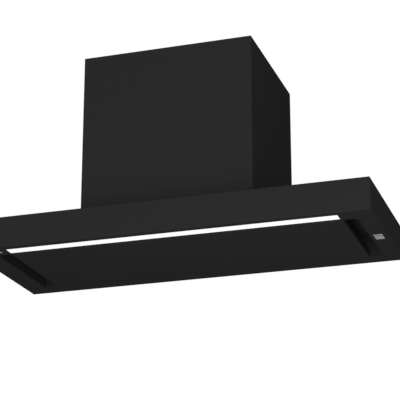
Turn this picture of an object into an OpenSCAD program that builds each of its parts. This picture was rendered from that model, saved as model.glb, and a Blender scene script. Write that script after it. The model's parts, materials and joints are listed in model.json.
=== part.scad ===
// Wall chimney hood with a slim box canopy, a drop-down suction panel between two end slots,
// a light strip along the front and a deep square chimney. Millimetres, +Z up.
// The wall is the plane Y = 0, the front faces -Y, and X runs to the right of someone who faces the hood.
// The origin is the middle of the four wall screws, which hold the hood up.

/* [Canopy] */
// Width of the canopy
canopy_w = 900; // [780:10:1200]
// Depth of the canopy, from its front to the wall
canopy_d = 360; // [345:5:420]
// Height of the canopy
canopy_h = 70; // [60:1:100]
// Thickness of the canopy's folded sheet
sheet = 1.2; // [0.8:0.1:1.5]

/* [Chimney] */
// Width of the chimney cover
chimney_w = 390; // [384:1:460]
// From the canopy's front back to the front of the chimney cover
chimney_setback = 27; // [15:1:44]
// Height of the chimney cover above the canopy
chimney_h = 368; // [320:1:600]
// Thickness of the chimney's sheet
chimney_sheet = 1; // [0.8:0.1:1.2]

/* [Suction panel] */
// From the canopy's left side to the suction opening
left_margin = 50; // [20:1:80]
// From the canopy's right side to the suction opening
right_margin = 38; // [37:1:60]
// From the canopy's front to the suction opening
front_margin = 53; // [52:1:60]
// From the suction opening to the wall
back_margin = 42; // [36:1:43]
// Width of the open slot at each end of the panel
slot_w = 31.5; // [15:0.5:45]
// Height of the folded edges of the panel
panel_rim = 12; // [9:0.5:20]
// Gap between the panel and the canopy at the front and the back
panel_seam = 1; // [0.8:0.1:1.5]
// Distance of each hinge and catch from the middle of the panel
hinge_reach = 250; // [100:5:340]

/* [Light] */
// From the canopy's front to the light strip
light_front = 19.1; // [10:0.1:19.5]
// Width of the light strip, front to back
light_w = 26.1; // [16:0.1:28.9]
// From the canopy's left side to the light strip
light_left = 85; // [45:1:150]
// From the canopy's right side to the light strip
light_right = 74; // [20:1:150]

/* [Keys] */
// Width of the fan keys
key_w = 19.2; // [16:0.2:24]
// Front to back size of the small fan key
small_key_l = 5; // [5:0.5:18]
// Front to back size of the large fan key
large_key_l = 18; // [12:0.5:26]
// From the canopy's front to the small fan key
key_front = 167; // [60:0.5:220]
// Width of the light key
light_key_w = 22; // [14:0.5:40]
// Front to back size of the light key
light_key_l = 5; // [5:0.5:14]
// How far a key stands below the canopy
key_proud = 1; // [0.8:0.1:2]

/* [Grease filters] */
// Width of one filter cassette
filter_w = 258; // [200:2:380]
// From the front of the suction opening to the filter cassettes
filter_front = 21; // [15:1:61]
// Thickness of a filter cassette
filter_t = 8.7; // [8:0.1:9]

/* [Blower] */
// Width of the blower box
box_w = 300; // [240:2:306]
// From the front of the chimney cover to the blower box
box_front = 33; // [17:1:43]
// Height of the blower box
box_h = 220; // [205:1:260]
// Number of impeller blades
blades = 32; // [16:1:48]
// Radius of the motor shaft
shaft_r = 4; // [3:0.5:6]
// Height of the duct collar above its flange
collar_h = 57; // [40:1:70]

/* [Wall mounting] */
// From the top of the blower box down to the middle of the wall screws
hang_low = 50; // [40:1:120]
// Spacing of the wall screws across
wall_hole_x = 260; // [200:2:270]
// Spacing of the wall screws up and down
wall_hole_z = 30; // [20:1:40]
// Radius of the wall screw holes
wall_hole_r = 4; // [2.5:0.5:5]

/* [Hidden] */

$fn = 64;
// Overrun of every cut
over = 1;
full_turn = 360;
// Gap between a seated piece and what carries it
seat = 0.3;
// Running fit of a shaft or pin, on the radius
running = 0.06;

// Finishes
paint = "#2b2b2b";
zinc = "#b9bcbe";
bare_aluminium = "#c8cacc";
dark_plastic = "#26282a";
grey_plastic = "#8c9094";
board_green = "#2f6b46";

// Levels and edges of the canopy
under_z = hang_low - box_h - canopy_h;
top_z = under_z + canopy_h;
front_y = -canopy_d;
side_x = canopy_w / 2;

// Suction opening and the chamber walls folded up around it
open_x0 = -side_x + left_margin;
open_x1 = side_x - right_margin;
open_y0 = front_y + front_margin;
open_y1 = -back_margin;
plenum = 14;
chamber_z = top_z - plenum;
chamber_lip = 10;

// Suction panel: a folded tray hinged at its back edge
panel_x0 = open_x0 + slot_w;
panel_x1 = open_x1 - slot_w;
panel_x = (panel_x0 + panel_x1) / 2;
panel_y0 = open_y0 + panel_seam;
panel_y1 = open_y1 - panel_seam;
panel_bend_r = 3;
panel_rim_z = under_z + panel_rim;

// Hinges of the panel
hinge_inset = 5;
hinge_rise = 4.8;
hinge_y = panel_y1 - hinge_inset;
hinge_z = under_z + hinge_rise;
knuckle_r = 3.2;
hinge_pin_r = 1.5;
hinge_w = 40;
ear_w = 6;
ear_t = 3;
ear_reach = 1;
bracket_h = 20;
bracket_rise = 2.5;
leaf_l = 30;
leaf_t = 1.4;
pin_end = 2;
notch_spare = 3;

// Magnetic catches of the panel
catch_w = 40;
catch_d = 12;
catch_h = 14;
catch_gap = 1;
magnet_w = 16;
magnet_d = 6;
magnet_h = 6;
striker_w = 24;
striker_t = 1.5;
striker_foot = 14;
catch_z = panel_rim_z + catch_gap;
magnet_y0 = open_y0 + (catch_d - magnet_d) / 2;

// Light strip
light_x0 = -side_x + light_left;
light_x1 = side_x - light_right;
light_y0 = front_y + light_front;
light_y1 = light_y0 + light_w;
light_y = (light_y0 + light_y1) / 2;
light_gap = 0.15;
shoulder = 1.9;
diffuser_t = 3;
profile_wall = 1.4;
profile_h = 18.8;
profile_y0 = light_y0 - shoulder - light_gap - profile_wall;
profile_y1 = light_y1 + shoulder + light_gap + profile_wall;
profile_z1 = under_z + sheet + profile_h;
light_board_w = 20;
board_t = 1.6;
chip = 3;
chip_t = 1;
chip_pitch = 23;
chips = floor((light_x1 - light_x0 - chip_pitch) / chip_pitch);
cap_t = 4;
driver_w = 160;
driver_d = 32;
driver_h = 22;
driver_inset = 21;

// Keys
key_gap = 6.8;
key_inset = 10.9;
key_x1 = side_x - key_inset;
key_x = key_x1 - key_w / 2;
small_key_y0 = front_y + key_front;
small_key_y1 = small_key_y0 + small_key_l;
large_key_y0 = small_key_y1 + key_gap;
large_key_y1 = large_key_y0 + large_key_l;
light_key_gap = 15.5;
light_key_x = light_x0 - light_key_gap - light_key_w / 2;
light_key_y0 = light_y - light_key_l / 2;
light_key_y1 = light_y + light_key_l / 2;
key_tab = 0.8;
key_tab_t = 1.2;
key_cap_t = 4;
stem_r = 2.4;
stem_l = 5;
stem_gap = 0.4;
housing_wall = 1.3;
housing_t = 12.8;
switch_side = 7.2;
switch_t = 5;
switch_floor = 0.8;
fan_keys = [[small_key_y0, small_key_y1], [large_key_y0, large_key_y1]];
light_keys = [[light_key_y0, light_key_y1]];

// Filters, one on each side of the middle
filter_gap = 8;
filter_x = (filter_w + filter_gap) / 2;
filter_back = 14;
filter_y1 = open_y1 - filter_back;
filter_y0 = open_y0 + filter_front;
filter_z1 = chamber_z - seat;
filter_z0 = filter_z1 - filter_t;
rail = 9;
front_rail = 24;
window_rim = 9;
mesh_t = 4;
mesh_edge = 3;
hook_gap = 1.5;
hook_reach = 8;
latch_w = 24;
latch_l = 20;
latch_t = 2.4;
latch_out = 6;
latch_travel = 5.5;
latch_rise = 3.3;
latch_play = 0.3;
latch_tab_w = 16;
latch_tab_t = 3;
latch_tab_h = 8;
latch_tab_back = 1;
latch_z0 = filter_z0 + latch_rise;
latch_y1 = filter_y0 - latch_out + latch_l;
latch_tab_y0 = latch_y1 - latch_tab_back - latch_tab_t;
keeper_reach = 8;
keeper_gap = 3;
keeper_w = 40;

// Blower box
box_back = 10;
box_y1 = -box_back;
chimney_d = canopy_d - chimney_setback;
box_y0 = -chimney_d + box_front;
box_d = box_y1 - box_y0;
box_z1 = top_z + box_h;
box_wall = 1.2;
box_flange = 12;
air_rim = 10;
air_back = 40;

// The impeller, the motor and the duct collar follow the blower box
box_spare_d = 70;
blower_size = min(box_h, box_d - box_spare_d);
wheel_share = 18 / 55;
wheel_length_share = 3 / 10;
motor_share = 19 / 110;
collar_share = 15 / 44;
growth_share = 9 / 55;
outlet_share = 4 / 11;
wheel_r = blower_size * wheel_share;
wheel_length = box_w * wheel_length_share;
motor_r = blower_size * motor_share;
collar_r = blower_size * collar_share;

// Scroll: its radius grows steadily from the tongue round to the outlet at the back
scroll_gap = 8;
scroll_growth = blower_size * growth_share;
scroll_wall = 1.5;
scroll_side_gap = 10;
scroll_front_gap = 14.4;
scroll_floor_gap = 6.8;
scroll_steps = 30;
outlet_flange = blower_size * outlet_share;
outlet_flange_t = 2;
tongue_angle = 60;
scroll_r0 = wheel_r + scroll_gap;
function scroll_r(a) = scroll_r0 + scroll_growth * (a - tongue_angle) / (full_turn - tongue_angle);
scroll_r1 = scroll_r(full_turn);
scroll_x = wheel_length / 2 + scroll_side_gap;
wheel_y = box_y0 + box_wall + scroll_front_gap + scroll_r(180);
wheel_z = top_z + scroll_floor_gap + scroll_r(270);
throat_inset = 15;
throat_gap = 1.5;
throat_r = wheel_r - throat_inset;
inlet_step = 3;
inlet_r = throat_r + inlet_step;
inlet_lip = 6;
inlet_t = 1.5;

// Impeller
ring_t = 1.5;
disc_t = 2;
blade_t = 1;
blade_depth = 14;
blade_inner_r = wheel_r - blade_depth;
blade_sweep = 12;
blade_steps = 4;
hub_r = 12;
hub_l = 14;
motor_boss_r = 12;

// Motor bracket with three arms on rubber bushes
arm_t = 2;
arm_w = 14;
bush_out = 2;
bush_ring = wheel_r + bush_out;
bush_r = 6;
bush_l = 9;
bush_hole_r = 2.5;
bush_head_r = 5.6;
arm_angles = [30, 150, 270];
motor_gap = 8;
motor_x1 = -motor_gap;
motor_x0 = -scroll_x - bush_l - arm_t;
shaft_end = 4;
capacitor_r = 17;
capacitor_h = 62;
capacitor_foot = 2;
capacitor_edge = 2;
capacitor_bite = 0.6;

// Duct collar and non-return flaps
outlet_y = wheel_y + (scroll_r1 + scroll_r0 * cos(tongue_angle)) / 2;
collar_wall = 2;
collar_flange = 13;
collar_flange_t = 3;
flap_rise = 10;
flap_z = box_z1 + flap_rise;
flap_pin_r = 2;
flap_knuckle_r = 4;
flap_t = 1.2;
flap_gap = 1;
stop_lip = 3;
stop_t = 2;
flap_r = collar_r - collar_wall - flap_gap;
flap_web = 4.6;
knuckle_inset = 6;
knuckle_gap = 1;
knuckle_end = flap_r - knuckle_inset;
knuckle_mid = knuckle_end / 2 + knuckle_gap;

// Wall plate with two hooks that reach through the back of the blower box
wall_plate_w = 300;
wall_plate_h = 56;
wall_plate_t = 2;
hook_x = 95;
hook_w = 20;
hook_t = 8;
hook_lip = 10;
hook_lip_t = 2;
hook_play = 0.8;
hook_drop = 12;

// Chimney cover, open at the back between two folded returns
cover_z1 = top_z + chimney_h;
cover_return = 20;
cover_foot = 12;
sleeve_gap = 2;
sleeve_low = 2.5;
sleeve_z0 = top_z + chimney_sheet + seat;
sleeve_z1 = cover_z1 - sleeve_low;
sleeve_x = chimney_w / 2 - chimney_sheet - sleeve_gap;
sleeve_y0 = -chimney_d + chimney_sheet + sleeve_gap;
sleeve_y1 = -chimney_sheet - sleeve_gap;
glide_w = 20;
glide_h = 30;
glide_up = 4;
glide_inset = 60;
glide_t = sleeve_gap - seat;
bracket_strip = 30;
bracket_low = 6;
bracket_t = 1.5;
bracket_step = 8;
bracket_edge = 3;
bracket_hole_r = 3;
bracket_hole_x = 240;
bracket_z1 = sleeve_z1 - bracket_low;
bracket_z = bracket_z1 - bracket_strip / 2;
sleeve_screw_x = sleeve_x - cover_return / 2;
sleeve_inner_y = sleeve_y1 - chimney_sheet;

// Electronics on the right side of the blower box
el_t = 32;
el_d = 120;
el_h = 110;
el_back = 100;
el_up = 60;
el_wall = 2;
el_x0 = box_w / 2;
el_x1 = el_x0 + el_t;
el_y1 = -el_back;
el_y0 = el_y1 - el_d;
el_z0 = top_z + el_up;
el_z1 = el_z0 + el_h;
lid_t = 1.5;
board_margin = 8;
post = 5;
terminal_w = 40;
terminal_d = 14;
terminal_h = 18;
gland_r = 9;
gland_h = 8;
gland_bore_r = 4;
gland_nut_r = 11;
gland_nut_h = 5;
gland_x = (el_x0 + el_x1) / 2;
gland_y = el_y1 - el_d / 4;

// Screws
head_r = 3.6;
head_h = 2.4;
screw_r = 1.6;
screw_l = 5;
screw_inset = 5;

function arc(cy, cz, r, from, to, steps = 6) =
    [for (i = [0 : steps]) let (a = from + (to - from) * i / steps) [cy + r * cos(a), cz + r * sin(a)]];

// A box between two corners, given as ranges
module span(x, y, z) {
    translate([x[0], y[0], z[0]]) cube([x[1] - x[0], y[1] - y[0], z[1] - z[0]]);
}

// An outline in Y and Z, extruded from x0 to x1
module along_x(x0, x1) {
    translate([x0, 0, 0]) rotate([90, 0, 90]) linear_extrude(x1 - x0) children();
}

// A round bar along X about the point (y, z)
module bar_x(r, x0, x1, y, z) {
    translate([x0, y, z]) rotate([0, 90, 0]) cylinder(r = r, h = x1 - x0);
}

// A round bar along Z about the point (x, y)
module bar_z(r, x, y, z0, z1) {
    translate([x, y, z0]) cylinder(r = r, h = z1 - z0);
}

// A pan-head screw whose head sits on z = 0 and whose shank goes down
module screw(length = screw_l) {
    cylinder(r = head_r, h = head_h);
    translate([0, 0, -length]) cylinder(r = screw_r, h = length);
}

module both_hinges() {
    for (side = [-1, 1]) translate([panel_x + side * hinge_reach, 0, 0]) children();
}

// Screw places
frame_screws = [for (i = [-2 : 2], y = [open_y0, open_y1])
    [(open_x0 + open_x1) / 2 + i * (open_x1 - open_x0 - 2 * chamber_lip) / 4,
        y + (y == open_y0 ? -1 : 1) * chamber_lip / 2]];
box_screw_shares = [1 / 6, 1 / 2, 5 / 6];
cover_screw_shares = [1 / 4, 3 / 4];
box_screws = [for (side = [-1, 1], share = box_screw_shares)
    [side * (box_w / 2 + box_flange / 2), box_y0 + box_d * share]];
cover_feet = [for (side = [-1, 1], share = cover_screw_shares)
    [side * (chimney_w / 2 - cover_foot / 2), -chimney_d * share]];
collar_feet = [for (a = [45 : 90 : 315])
    [(collar_r + collar_flange / 2) * cos(a), outlet_y + (collar_r + collar_flange / 2) * sin(a)]];
lid_corners = [for (y = [el_y0 + screw_inset, el_y1 - screw_inset],
    z = [el_z0 + screw_inset, el_z1 - screw_inset]) [y, z]];

module canopy_shell() {
    color(paint) difference() {
        span([-side_x, side_x], [front_y, 0], [under_z, top_z]);
        span([-side_x + sheet, side_x - sheet], [front_y + sheet, -sheet], [under_z - over, top_z - sheet]);
        span([-box_w / 2 + air_rim, box_w / 2 - air_rim], [box_y0 + air_rim, -air_back],
            [top_z - sheet - over, top_z + over]);
        for (p = concat(box_screws, cover_feet)) bar_z(screw_r, p[0], p[1], top_z - sheet - over, top_z + over);
    }
}

module key_hole(x, w, y0, y1) {
    span([x - w / 2 - seat, x + w / 2 + seat], [y0 - seat, y1 + seat],
        [under_z - over, under_z + sheet + over]);
}

module base_plate() {
    color(paint) difference() {
        union() {
            span([-side_x + sheet, side_x - sheet], [front_y + sheet, -sheet], [under_z, under_z + sheet]);
            span([open_x0 - sheet, open_x1 + sheet], [open_y0 - sheet, open_y1 + sheet], [under_z, chamber_z]);
            span([open_x0 - chamber_lip, open_x1 + chamber_lip], [open_y0 - chamber_lip, open_y1 + chamber_lip],
                [chamber_z - sheet, chamber_z]);
        }
        span([open_x0, open_x1], [open_y0, open_y1], [under_z - over, chamber_z + over]);
        span([light_x0 - light_gap, light_x1 + light_gap], [light_y0 - light_gap, light_y1 + light_gap],
            [under_z - over, under_z + sheet + over]);
        key_hole(key_x, key_w, small_key_y0, small_key_y1);
        key_hole(key_x, key_w, large_key_y0, large_key_y1);
        key_hole(light_key_x, light_key_w, light_key_y0, light_key_y1);
        for (p = frame_screws) bar_z(screw_r, p[0], p[1], chamber_z - sheet - over, chamber_z + over);
    }
}

// Roof of the suction chamber, with a window over each filter, the channel that the filters hook into
// at the back and the keepers of their latches at the front
module filter_frame() {
    hook_y = filter_y1 + hook_gap;
    keeper_y = filter_y0 - keeper_gap - keeper_reach;
    shelf_z = latch_z0 - seat;
    color(paint) difference() {
        union() {
            span([open_x0 - chamber_lip, open_x1 + chamber_lip], [open_y0 - chamber_lip, open_y1 + chamber_lip],
                [chamber_z, chamber_z + sheet]);
            span([-filter_x - filter_w / 2, filter_x + filter_w / 2], [hook_y, hook_y + sheet],
                [filter_z0 - sheet, chamber_z]);
            span([-filter_x - filter_w / 2, filter_x + filter_w / 2], [hook_y - hook_reach, hook_y + sheet],
                [filter_z0 - sheet, filter_z0]);
            for (x = [-filter_x, filter_x]) {
                span([x - keeper_w / 2, x + keeper_w / 2], [keeper_y, keeper_y + sheet],
                    [shelf_z - sheet, chamber_z]);
                span([x - keeper_w / 2, x + keeper_w / 2], [keeper_y, keeper_y + keeper_reach],
                    [shelf_z - sheet, shelf_z]);
            }
        }
        for (x = [-filter_x, filter_x])
            span([x - filter_w / 2 + window_rim, x + filter_w / 2 - window_rim],
                [filter_y0 + front_rail, filter_y1 - window_rim], [chamber_z - over, chamber_z + sheet + over]);
        for (p = frame_screws) bar_z(screw_r, p[0], p[1], chamber_z - over, chamber_z + sheet + over);
    }
}

module filter_frame_screws() {
    color(zinc) for (p = frame_screws) translate([p[0], p[1], chamber_z + sheet]) screw();
}

// Cross-section of the panel: a shallow tray with rounded folds along its front and back
function panel_outline() = concat(
    [[panel_y0 + sheet, panel_rim_z], [panel_y0, panel_rim_z]],
    arc(panel_y0 + panel_bend_r, under_z + panel_bend_r, panel_bend_r, 180, 270),
    arc(panel_y1 - panel_bend_r, under_z + panel_bend_r, panel_bend_r, 270, 360),
    [[panel_y1, panel_rim_z], [panel_y1 - sheet, panel_rim_z]],
    arc(panel_y1 - panel_bend_r, under_z + panel_bend_r, panel_bend_r - sheet, 360, 270),
    arc(panel_y0 + panel_bend_r, under_z + panel_bend_r, panel_bend_r - sheet, 270, 180));

module suction_panel() {
    notch = hinge_w / 2 + notch_spare;
    color(paint) difference() {
        union() {
            along_x(panel_x0, panel_x1) polygon(panel_outline());
            for (x = [panel_x0, panel_x1 - sheet])
                span([x, x + sheet], [panel_y0 + panel_bend_r, panel_y1 - panel_bend_r],
                    [under_z, panel_rim_z]);
        }
        both_hinges() span([-notch, notch], [panel_y1 - panel_bend_r, panel_y1 + over],
            [under_z + panel_bend_r, panel_rim_z + over]);
    }
}

module panel_hinge_leaves() {
    inner = hinge_w / 2 - ear_w - seat;
    color(zinc) both_hinges() difference() {
        union() {
            bar_x(knuckle_r, -inner, inner, hinge_y, hinge_z);
            span([-inner, inner], [hinge_y - leaf_l, hinge_y], [under_z + sheet, under_z + sheet + leaf_t]);
        }
        bar_x(hinge_pin_r + running, -inner - over, inner + over, hinge_y, hinge_z);
    }
}

// Fixed half of each hinge: two ears that come down in front of the panel's back fold
module hinge_brackets() {
    ear_z = panel_rim_z + bracket_rise;
    color(zinc) both_hinges() difference() {
        union() {
            for (x = [-hinge_w / 2, hinge_w / 2 - ear_w]) {
                bar_x(knuckle_r, x, x + ear_w, hinge_y, hinge_z);
                span([x, x + ear_w], [hinge_y - knuckle_r, hinge_y + ear_reach], [hinge_z, ear_z + ear_t]);
            }
            span([-hinge_w / 2, hinge_w / 2], [hinge_y - knuckle_r, open_y1], [ear_z, ear_z + ear_t]);
            span([-hinge_w / 2, hinge_w / 2], [open_y1 - sheet, open_y1], [ear_z, ear_z + bracket_h]);
        }
        bar_x(hinge_pin_r, -hinge_w / 2 - over, hinge_w / 2 + over, hinge_y, hinge_z);
    }
}

module hinge_pins() {
    color(zinc) both_hinges()
        bar_x(hinge_pin_r, -hinge_w / 2 - pin_end, hinge_w / 2 + pin_end, hinge_y, hinge_z);
}

module panel_catches() {
    color(dark_plastic) both_hinges() difference() {
        span([-catch_w / 2, catch_w / 2], [open_y0, open_y0 + catch_d], [catch_z, catch_z + catch_h]);
        span([-magnet_w / 2, magnet_w / 2], [magnet_y0, magnet_y0 + magnet_d],
            [catch_z - over, catch_z + magnet_h]);
    }
}

module catch_magnets() {
    color(grey_plastic) both_hinges()
        span([-magnet_w / 2, magnet_w / 2], [magnet_y0, magnet_y0 + magnet_d], [catch_z, catch_z + magnet_h]);
}

// Steel strikers on the panel that the magnets hold
module catch_strikers() {
    striker_y = open_y0 + catch_d;
    striker_z = catch_z - seat;
    x = [-striker_w / 2, striker_w / 2];
    color(zinc) both_hinges() {
        span(x, [magnet_y0, striker_y], [striker_z - striker_t, striker_z]);
        span(x, [striker_y - striker_t, striker_y], [under_z + sheet, striker_z]);
        span(x, [striker_y - striker_t, striker_y + striker_foot],
            [under_z + sheet, under_z + sheet + striker_t]);
    }
}

module light_diffuser() {
    color("white") {
        span([light_x0, light_x1], [light_y0, light_y1], [under_z, under_z + diffuser_t]);
        span([light_x0, light_x1], [light_y0 - shoulder, light_y1 + shoulder],
            [under_z + sheet, under_z + diffuser_t]);
    }
}

module light_profile() {
    color(bare_aluminium) difference() {
        span([light_x0, light_x1], [profile_y0, profile_y1], [under_z + sheet, profile_z1]);
        span([light_x0 - over, light_x1 + over], [profile_y0 + profile_wall, profile_y1 - profile_wall],
            [under_z + sheet - over, profile_z1 - profile_wall]);
    }
}

module light_board() {
    board_z = profile_z1 - profile_wall;
    color(board_green) {
        span([light_x0, light_x1], [light_y - light_board_w / 2, light_y + light_board_w / 2],
            [board_z - board_t, board_z]);
        for (i = [0 : chips - 1]) {
            x = (light_x0 + light_x1) / 2 + (i - (chips - 1) / 2) * chip_pitch;
            span([x - chip / 2, x + chip / 2], [light_y - chip / 2, light_y + chip / 2],
                [board_z - board_t - chip_t, board_z - board_t]);
        }
    }
}

module light_end_caps() {
    color(dark_plastic) for (x = [light_x0 - cap_t, light_x1])
        span([x, x + cap_t], [profile_y0, profile_y1], [under_z + sheet, profile_z1]);
}

// Power supply of the light, hung from the canopy's top above the profile
module light_driver() {
    driver_x1 = light_x1 - driver_inset;
    driver_y = front_y + sheet + (front_margin - chamber_lip - driver_d) / 2;
    color(dark_plastic) span([driver_x1 - driver_w, driver_x1], [driver_y, driver_y + driver_d],
        [top_z - sheet - driver_h, top_z - sheet]);
}

// A push key: cap, a tab on each side that keeps it from falling out, and a stem into its switch
module push_key(x, w, y0, y1) {
    cap_z = under_z + sheet + key_cap_t;
    span([x - w / 2, x + w / 2], [y0, y1], [under_z - key_proud, cap_z]);
    span([x - w / 2 - seat - key_tab, x + w / 2 + seat + key_tab], [y0, y1],
        [under_z + sheet + seat, under_z + sheet + seat + key_tab_t]);
    bar_z(stem_r, x, (y0 + y1) / 2, cap_z, cap_z + stem_l);
}

module small_fan_key() {
    color(bare_aluminium) push_key(key_x, key_w, small_key_y0, small_key_y1);
}

module large_fan_key() {
    color(bare_aluminium) push_key(key_x, key_w, large_key_y0, large_key_y1);
}

module light_key() {
    color(bare_aluminium) push_key(light_key_x, light_key_w, light_key_y0, light_key_y1);
}

// Room behind a key, front to back: it holds the key and the switch
function key_well(y) = let (middle = (y[0] + y[1]) / 2, reach = max(y[1] - y[0], switch_side) / 2 + seat)
    [middle - reach, middle + reach];

// Outside of the frame round the wells, front to back
function housing_y(ys) = [key_well(ys[0])[0] - housing_wall, key_well(ys[len(ys) - 1])[1] + housing_wall];

// A frame on the base plate with one well for each key
module key_housing(x, w, ys) {
    reach = w / 2 + seat + key_tab + seat;
    difference() {
        span([x - reach - housing_wall, x + reach + housing_wall], housing_y(ys),
            [under_z + sheet, under_z + sheet + housing_t]);
        for (y = ys) span([x - reach, x + reach], key_well(y),
            [under_z + sheet - over, under_z + sheet + housing_t + over]);
    }
}

// The circuit board that closes a housing, with a switch over each key's stem
module key_board(x, w, ys) {
    reach = w / 2 + seat + key_tab + seat;
    board_z = under_z + sheet + housing_t;
    difference() {
        union() {
            span([x - reach - housing_wall, x + reach + housing_wall], housing_y(ys),
                [board_z, board_z + board_t]);
            for (y = ys) span([x - switch_side / 2, x + switch_side / 2],
                [(y[0] + y[1] - switch_side) / 2, (y[0] + y[1] + switch_side) / 2],
                [board_z - switch_t, board_z]);
        }
        for (y = ys) bar_z(stem_r + stem_gap, x, (y[0] + y[1]) / 2, board_z - switch_t - over,
            board_z - switch_floor);
    }
}

module fan_key_housing() {
    color(dark_plastic) key_housing(key_x, key_w, fan_keys);
}

module fan_key_board() {
    color(board_green) key_board(key_x, key_w, fan_keys);
}

module light_key_housing() {
    color(dark_plastic) key_housing(light_key_x, light_key_w, light_keys);
}

module light_key_board() {
    color(board_green) key_board(light_key_x, light_key_w, light_keys);
}

// A filter cassette: a flat frame with a wide front rail that holds the latch
module filter_cassette(x) {
    z_mid = (filter_z0 + filter_z1) / 2;
    mesh_y0 = filter_y0 + front_rail;
    pocket_y1 = latch_y1 + latch_travel + latch_play;
    difference() {
        span([x - filter_w / 2, x + filter_w / 2], [filter_y0, filter_y1], [filter_z0, filter_z1]);
        span([x - filter_w / 2 + rail, x + filter_w / 2 - rail], [mesh_y0, filter_y1 - rail],
            [filter_z0 - over, filter_z1 + over]);
        span([x - filter_w / 2 + rail - mesh_edge, x + filter_w / 2 - rail + mesh_edge],
            [mesh_y0 - mesh_edge, filter_y1 - rail + mesh_edge], [z_mid - mesh_t / 2, z_mid + mesh_t / 2]);
        span([x - latch_w / 2 - latch_play, x + latch_w / 2 + latch_play],
            [filter_y0 - over, pocket_y1], [latch_z0 - latch_play, latch_z0 + latch_t + latch_play]);
        span([x - latch_tab_w / 2 - latch_play, x + latch_tab_w / 2 + latch_play],
            [latch_tab_y0 - latch_play, pocket_y1], [filter_z0 - over, latch_z0]);
    }
}

module filter_mesh(x) {
    z_mid = (filter_z0 + filter_z1) / 2;
    span([x - filter_w / 2 + rail - mesh_edge, x + filter_w / 2 - rail + mesh_edge],
        [filter_y0 + front_rail - mesh_edge, filter_y1 - rail + mesh_edge],
        [z_mid - mesh_t / 2, z_mid + mesh_t / 2]);
}

// A sliding bolt with a finger tab that hangs below the cassette
module filter_latch(x) {
    span([x - latch_w / 2, x + latch_w / 2], [filter_y0 - latch_out, latch_y1], [latch_z0, latch_z0 + latch_t]);
    span([x - latch_tab_w / 2, x + latch_tab_w / 2], [latch_tab_y0, latch_tab_y0 + latch_tab_t],
        [latch_z0 - latch_tab_h, latch_z0 + latch_t]);
}

module filter_cassette_left() {
    color(bare_aluminium) filter_cassette(-filter_x);
}

module filter_cassette_right() {
    color(bare_aluminium) filter_cassette(filter_x);
}

module filter_mesh_left() {
    color(bare_aluminium) filter_mesh(-filter_x);
}

module filter_mesh_right() {
    color(bare_aluminium) filter_mesh(filter_x);
}

module filter_latch_left() {
    color(dark_plastic) filter_latch(-filter_x);
}

module filter_latch_right() {
    color(dark_plastic) filter_latch(filter_x);
}

// Sheet box round the scroll, open towards the canopy, with slots for the wall hooks in its back
module blower_box() {
    slot_z1 = hook_t / 2;
    color(zinc) difference() {
        union() {
            span([-box_w / 2, box_w / 2], [box_y0, box_y1], [top_z, box_z1]);
            span([-box_w / 2 - box_flange, box_w / 2 + box_flange], [box_y0, box_y1],
                [top_z, top_z + box_wall]);
        }
        span([-box_w / 2 + box_wall, box_w / 2 - box_wall], [box_y0 + box_wall, box_y1 - box_wall],
            [top_z - over, box_z1 - box_wall]);
        bar_z(collar_r - collar_wall, 0, outlet_y, box_z1 - box_wall - over, box_z1 + over);
        for (x = [-hook_x, hook_x]) span([x - hook_w / 2 - hook_play, x + hook_w / 2 + hook_play],
            [box_y1 - box_wall - over, box_y1 + over], [slot_z1 - hook_t - hook_drop, slot_z1]);
        for (p = box_screws) bar_z(screw_r, p[0], p[1], top_z - over, top_z + box_wall + over);
        for (p = collar_feet) bar_z(screw_r, p[0], p[1], box_z1 - box_wall - over, box_z1 + over);
    }
}

module blower_box_screws() {
    color(zinc) for (p = box_screws) translate([p[0], p[1], top_z + box_wall]) screw();
}

// Outline of the scroll, drawn in by a wall; its outlet runs straight up to z_top
function scroll_outline(inset, z_top) =
    let (tongue_y = scroll_r0 * cos(tongue_angle) + inset,
        start = acos(tongue_y / (scroll_r0 - inset)))
    concat(
        [for (i = [0 : scroll_steps]) let (a = start + (full_turn - start) * i / scroll_steps,
            r = scroll_r(a) - inset)
            [wheel_y + r * cos(a), wheel_z + r * sin(a)]],
        [[wheel_y + scroll_r1 - inset, z_top], [wheel_y + tongue_y, z_top]]);

// One half of the scroll, on the side of +X, with a flange that hangs it from the top of the blower box
module scroll_half() {
    outlet_z = box_z1 - box_wall;
    difference() {
        union() {
            along_x(0, scroll_x) polygon(scroll_outline(0, outlet_z));
            span([0, outlet_flange], [outlet_y - outlet_flange, outlet_y + outlet_flange],
                [outlet_z - outlet_flange_t, outlet_z]);
        }
        for (p = collar_feet) bar_z(screw_r, p[0], p[1], outlet_z - outlet_flange_t - over, outlet_z + over);
        along_x(-over, scroll_x - scroll_wall) polygon(scroll_outline(scroll_wall, outlet_z + over));
        bar_x(inlet_r, scroll_x - scroll_wall - over, scroll_x + over, wheel_y, wheel_z);
        for (a = arm_angles) bar_x(bush_hole_r, scroll_x - scroll_wall - over, scroll_x + over,
            wheel_y + bush_ring * cos(a), wheel_z + bush_ring * sin(a));
    }
}

module scroll_half_left() {
    color(grey_plastic) mirror([1, 0, 0]) scroll_half();
}

module scroll_half_right() {
    color(grey_plastic) scroll_half();
}

// A lipped ring in each inlet that leads the air into the wheel
module inlet_rings() {
    throat_x = wheel_length / 2 + throat_gap;
    color(dark_plastic) for (side = [0, 1]) mirror([side, 0, 0]) difference() {
        union() {
            bar_x(inlet_r + inlet_lip, scroll_x, scroll_x + inlet_t, wheel_y, wheel_z);
            bar_x(throat_r, throat_x, scroll_x + inlet_t, wheel_y, wheel_z);
        }
        bar_x(throat_r - inlet_t, throat_x - over, scroll_x + inlet_t + over, wheel_y, wheel_z);
    }
}

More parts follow.
